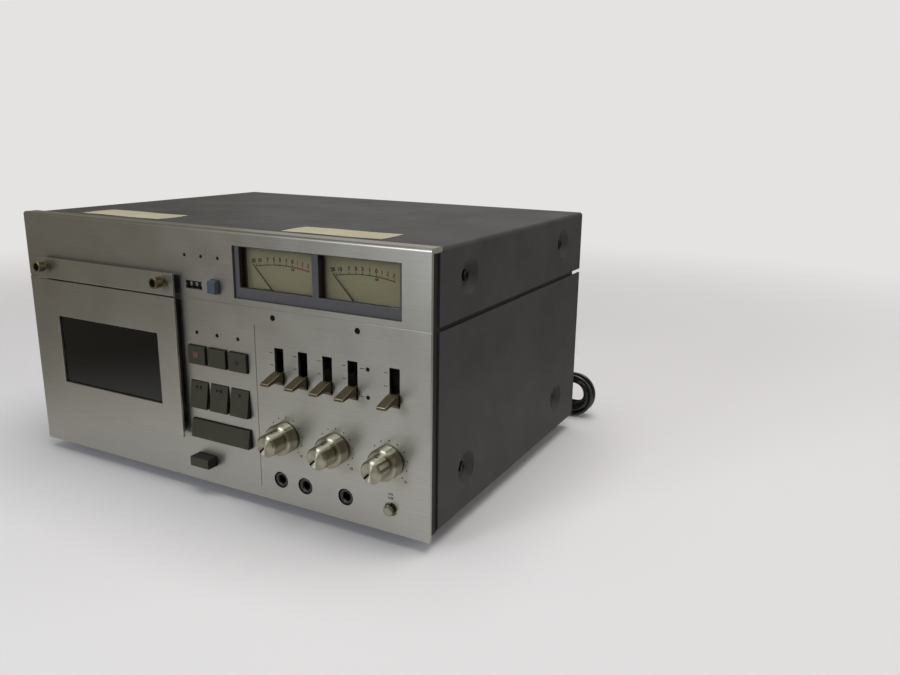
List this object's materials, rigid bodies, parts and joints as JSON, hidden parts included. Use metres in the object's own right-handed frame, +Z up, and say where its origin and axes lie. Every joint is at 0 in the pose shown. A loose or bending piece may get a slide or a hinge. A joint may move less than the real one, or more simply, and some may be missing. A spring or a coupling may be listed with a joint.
{
  "type": "cassette deck",
  "caption": "Front-loading tape deck for large cassettes, with hinged door, transport keys, lever switches, concentric knobs and needle meters in a painted case.",
  "frame": {"origin": "on the floor under the middle of the deck, cord left out", "axes": "+X to the right seen from the front, +Y to the back, +Z up"},
  "size_m": [0.4569, 0.4071, 0.238],
  "materials": {
    "brushed_aluminium": "brushed, champagne silver",
    "turned_aluminium": "turned, bright",
    "cover_paint": "fine matt texture, dark grey",
    "black_paint": "matt black",
    "black_steel": "blackened",
    "black_plastic": "matt black",
    "key_plastic": "satin, dark olive grey",
    "reset_plastic": "satin, grey blue",
    "bezel_plastic": "satin grey",
    "dial_card": "cream dial",
    "needle_metal": "matt black",
    "meter_glass": "clear",
    "window_acrylic": "dark tint",
    "lamp_plastic": "clear tint, unlit",
    "lever_metal": "satin, olive brown",
    "screw_brass": "turned, aged",
    "socket_metal": "plated",
    "foot_rubber": "matt black",
    "cord_rubber": "satin black",
    "deck_steel": "satin",
    "motor_paint": "plated grey",
    "core_iron": "varnished",
    "board": "lacquered"
  },
  "bodies": {
    "deck": {"front_panel": "brushed_aluminium", "front_frame": "black_paint", "chassis": "black_paint", "top_cover": "cover_paint", "bottom_cover": "cover_paint", "cover_screws": "black_steel", "feet": "foot_rubber", "meter_bezel": "bezel_plastic", "meter_movements": "dial_card", "meter_glass": "meter_glass", "indicator_lamps": "lamp_plastic", "counter_case": "black_plastic", "control_board": "board", "jack_sockets": "socket_metal", "cassette_well": "black_plastic", "deck_plate": "deck_steel", "drive_motors": "motor_paint", "head_block": "deck_steel", "transformer": "core_iron", "main_board": "board", "line_sockets": "black_plastic", "cord_gland": "cord_rubber", "mains_cord": "cord_rubber", "cord_hank": "cord_rubber", "mains_plug": "cord_rubber"},
    "door": {"door_plate": "brushed_aluminium", "door_frame": "black_plastic", "door_window": "window_acrylic"},
    "head_cover": {"head_cover": "brushed_aluminium"},
    "thumbscrew_left": {"thumbscrew_left": "screw_brass"},
    "thumbscrew_right": {"thumbscrew_right": "screw_brass"},
    "record_key": {"record_key": "key_plastic"},
    "mute_key": {"mute_key": "key_plastic"},
    "pause_key": {"pause_key": "key_plastic"},
    "rewind_key": {"rewind_key": "key_plastic"},
    "forward_key": {"forward_key": "key_plastic"},
    "play_key": {"play_key": "key_plastic"},
    "stop_key": {"stop_key": "key_plastic"},
    "eject_button": {"eject_button": "key_plastic"},
    "counter_reset": {"counter_reset": "reset_plastic"},
    "power_button": {"power_button": "turned_aluminium"},
    "lever_1": {"lever_1": "lever_metal"},
    "lever_2": {"lever_2": "lever_metal"},
    "lever_3": {"lever_3": "lever_metal"},
    "lever_4": {"lever_4": "lever_metal"},
    "lever_5": {"lever_5": "lever_metal"},
    "knob_ring_1": {"knob_ring_1": "turned_aluminium"},
    "knob_ring_2": {"knob_ring_2": "turned_aluminium"},
    "knob_ring_3": {"knob_ring_3": "turned_aluminium"},
    "knob_centre_1": {"knob_centre_1": "turned_aluminium"},
    "knob_centre_2": {"knob_centre_2": "turned_aluminium"},
    "knob_centre_3": {"knob_centre_3": "turned_aluminium"},
    "needle_left": {"needle_left": "needle_metal"},
    "needle_right": {"needle_right": "needle_metal"},
    "reel_spindle_left": {"reel_spindle_left": "deck_steel"},
    "reel_spindle_right": {"reel_spindle_right": "deck_steel"},
    "capstan_left": {"capstan_left": "deck_steel"},
    "capstan_right": {"capstan_right": "deck_steel"},
    "counter_wheel_ones": {"counter_wheel_ones": "black_plastic"},
    "counter_wheels_upper": {"counter_wheels_upper": "black_plastic"}
  },
  "joints": [
    {"name": "door_swing", "type": "hinge", "parent": "deck", "child": "door", "pos_m": [-0.113, -0.1476, 0.056], "axis": [1, 0, 0], "range_deg": [0, 30]},
    {"name": "head_cover_pull", "type": "slide", "parent": "deck", "child": "head_cover", "axis": [0, -1, 0], "range_m": [0, 0.03]},
    {"name": "thumbscrew_left_turn", "type": "hinge", "parent": "head_cover", "child": "thumbscrew_left", "pos_m": [-0.1885, -0.1581, 0.19], "axis": [0, 1, 0], "continuous": true},
    {"name": "thumbscrew_right_turn", "type": "hinge", "parent": "head_cover", "child": "thumbscrew_right", "pos_m": [-0.0375, -0.1581, 0.19], "axis": [0, 1, 0], "continuous": true},
    {"name": "record_key_press", "type": "slide", "parent": "deck", "child": "record_key", "axis": [0, 1, 0], "range_m": [0, 0.002], "stiffness_N_per_m": 200, "springref_m": -0.003},
    {"name": "mute_key_press", "type": "slide", "parent": "deck", "child": "mute_key", "axis": [0, 1, 0], "range_m": [0, 0.002], "stiffness_N_per_m": 200, "springref_m": -0.003},
    {"name": "pause_key_press", "type": "slide", "parent": "deck", "child": "pause_key", "axis": [0, 1, 0], "range_m": [0, 0.002], "stiffness_N_per_m": 200, "springref_m": -0.003},
    {"name": "rewind_key_press", "type": "slide", "parent": "deck", "child": "rewind_key", "axis": [0, 1, 0], "range_m": [0, 0.002], "stiffness_N_per_m": 200, "springref_m": -0.003},
    {"name": "forward_key_press", "type": "slide", "parent": "deck", "child": "forward_key", "axis": [0, 1, 0], "range_m": [0, 0.002], "stiffness_N_per_m": 200, "springref_m": -0.003},
    {"name": "play_key_press", "type": "slide", "parent": "deck", "child": "play_key", "axis": [0, 1, 0], "range_m": [0, 0.002], "stiffness_N_per_m": 200, "springref_m": -0.003},
    {"name": "stop_key_press", "type": "slide", "parent": "deck", "child": "stop_key", "axis": [0, 1, 0], "range_m": [0, 0.002], "stiffness_N_per_m": 200, "springref_m": -0.003},
    {"name": "eject_press", "type": "slide", "parent": "deck", "child": "eject_button", "axis": [0, 1, 0], "range_m": [0, 0.004], "stiffness_N_per_m": 200, "springref_m": -0.003},
    {"name": "reset_press", "type": "slide", "parent": "deck", "child": "counter_reset", "axis": [0, 1, 0], "range_m": [0, 0.003], "stiffness_N_per_m": 200, "springref_m": -0.003},
    {"name": "power_press", "type": "slide", "parent": "deck", "child": "power_button", "axis": [0, 1, 0], "range_m": [0, 0.004], "stiffness_N_per_m": 300, "springref_m": -0.003},
    {"name": "lever_1_tilt", "type": "hinge", "parent": "deck", "child": "lever_1", "pos_m": [0.0815, -0.1101, 0.1305], "axis": [-1, 0, 0], "range_deg": [0, 26]},
    {"name": "lever_2_tilt", "type": "hinge", "parent": "deck", "child": "lever_2", "pos_m": [0.1055, -0.1101, 0.1305], "axis": [-1, 0, 0], "range_deg": [0, 26]},
    {"name": "lever_3_tilt", "type": "hinge", "parent": "deck", "child": "lever_3", "pos_m": [0.1295, -0.1101, 0.1305], "axis": [-1, 0, 0], "range_deg": [0, 26]},
    {"name": "lever_4_tilt", "type": "hinge", "parent": "deck", "child": "lever_4", "pos_m": [0.1535, -0.1101, 0.1305], "axis": [-1, 0, 0], "range_deg": [0, 26]},
    {"name": "lever_5_tilt", "type": "hinge", "parent": "deck", "child": "lever_5", "pos_m": [0.1915, -0.1101, 0.1305], "axis": [-1, 0, 0], "range_deg": [0, 26]},
    {"name": "knob_ring_1_turn", "type": "hinge", "parent": "deck", "child": "knob_ring_1", "pos_m": [0.086, -0.1521, 0.071], "axis": [0, 1, 0], "range_deg": [0, 270]},
    {"name": "knob_centre_1_turn", "type": "hinge", "parent": "deck", "child": "knob_centre_1", "pos_m": [0.086, -0.1661, 0.071], "axis": [0, 1, 0], "range_deg": [0, 270]},
    {"name": "knob_ring_2_turn", "type": "hinge", "parent": "deck", "child": "knob_ring_2", "pos_m": [0.1362, -0.1521, 0.071], "axis": [0, 1, 0], "range_deg": [0, 270]},
    {"name": "knob_centre_2_turn", "type": "hinge", "parent": "deck", "child": "knob_centre_2", "pos_m": [0.1362, -0.1661, 0.071], "axis": [0, 1, 0], "range_deg": [0, 270]},
    {"name": "knob_ring_3_turn", "type": "hinge", "parent": "deck", "child": "knob_ring_3", "pos_m": [0.1864, -0.1521, 0.071], "axis": [0, 1, 0], "range_deg": [0, 270]},
    {"name": "knob_centre_3_turn", "type": "hinge", "parent": "deck", "child": "knob_centre_3", "pos_m": [0.1864, -0.1661, 0.071], "axis": [0, 1, 0], "range_deg": [0, 270]},
    {"name": "needle_left_swing", "type": "hinge", "parent": "deck", "child": "needle_left", "pos_m": [0.07875, -0.1361, 0.1808], "axis": [0, 1, 0], "range_deg": [0, 87], "stiffness_Nm_per_rad": 0.00002, "springref_deg": -28.65},
    {"name": "needle_right_swing", "type": "hinge", "parent": "deck", "child": "needle_right", "pos_m": [0.15825, -0.1361, 0.1808], "axis": [0, 1, 0], "range_deg": [0, 87], "stiffness_Nm_per_rad": 0.00002, "springref_deg": -28.65},
    {"name": "reel_left_spin", "type": "hinge", "parent": "deck", "child": "reel_spindle_left", "pos_m": [-0.149, -0.1261, 0.114], "axis": [0, 1, 0], "continuous": true},
    {"name": "reel_right_spin", "type": "hinge", "parent": "deck", "child": "reel_spindle_right", "pos_m": [-0.077, -0.1261, 0.114], "axis": [0, 1, 0], "continuous": true},
    {"name": "capstan_left_spin", "type": "hinge", "parent": "deck", "child": "capstan_left", "pos_m": [-0.165, -0.1261, 0.174], "axis": [0, 1, 0], "continuous": true},
    {"name": "capstan_right_spin", "type": "hinge", "parent": "deck", "child": "capstan_right", "pos_m": [-0.061, -0.1261, 0.174], "axis": [0, 1, 0], "continuous": true},
    {"name": "counter_ones_spin", "type": "hinge", "parent": "deck", "child": "counter_wheel_ones", "pos_m": [-0.00108, -0.1347, 0.189], "axis": [1, 0, 0], "continuous": true},
    {"name": "counter_upper_spin", "type": "hinge", "parent": "deck", "child": "counter_wheels_upper", "pos_m": [-0.01, -0.1347, 0.189], "axis": [1, 0, 0], "continuous": true}
  ],
  "couplings": [
    {"joint": "capstan_right_spin", "follows": "capstan_left_spin", "ratio": 1},
    {"joint": "counter_ones_spin", "follows": "reel_right_spin", "ratio": 0.5},
    {"joint": "counter_upper_spin", "follows": "reel_right_spin", "ratio": 0.05}
  ]
}
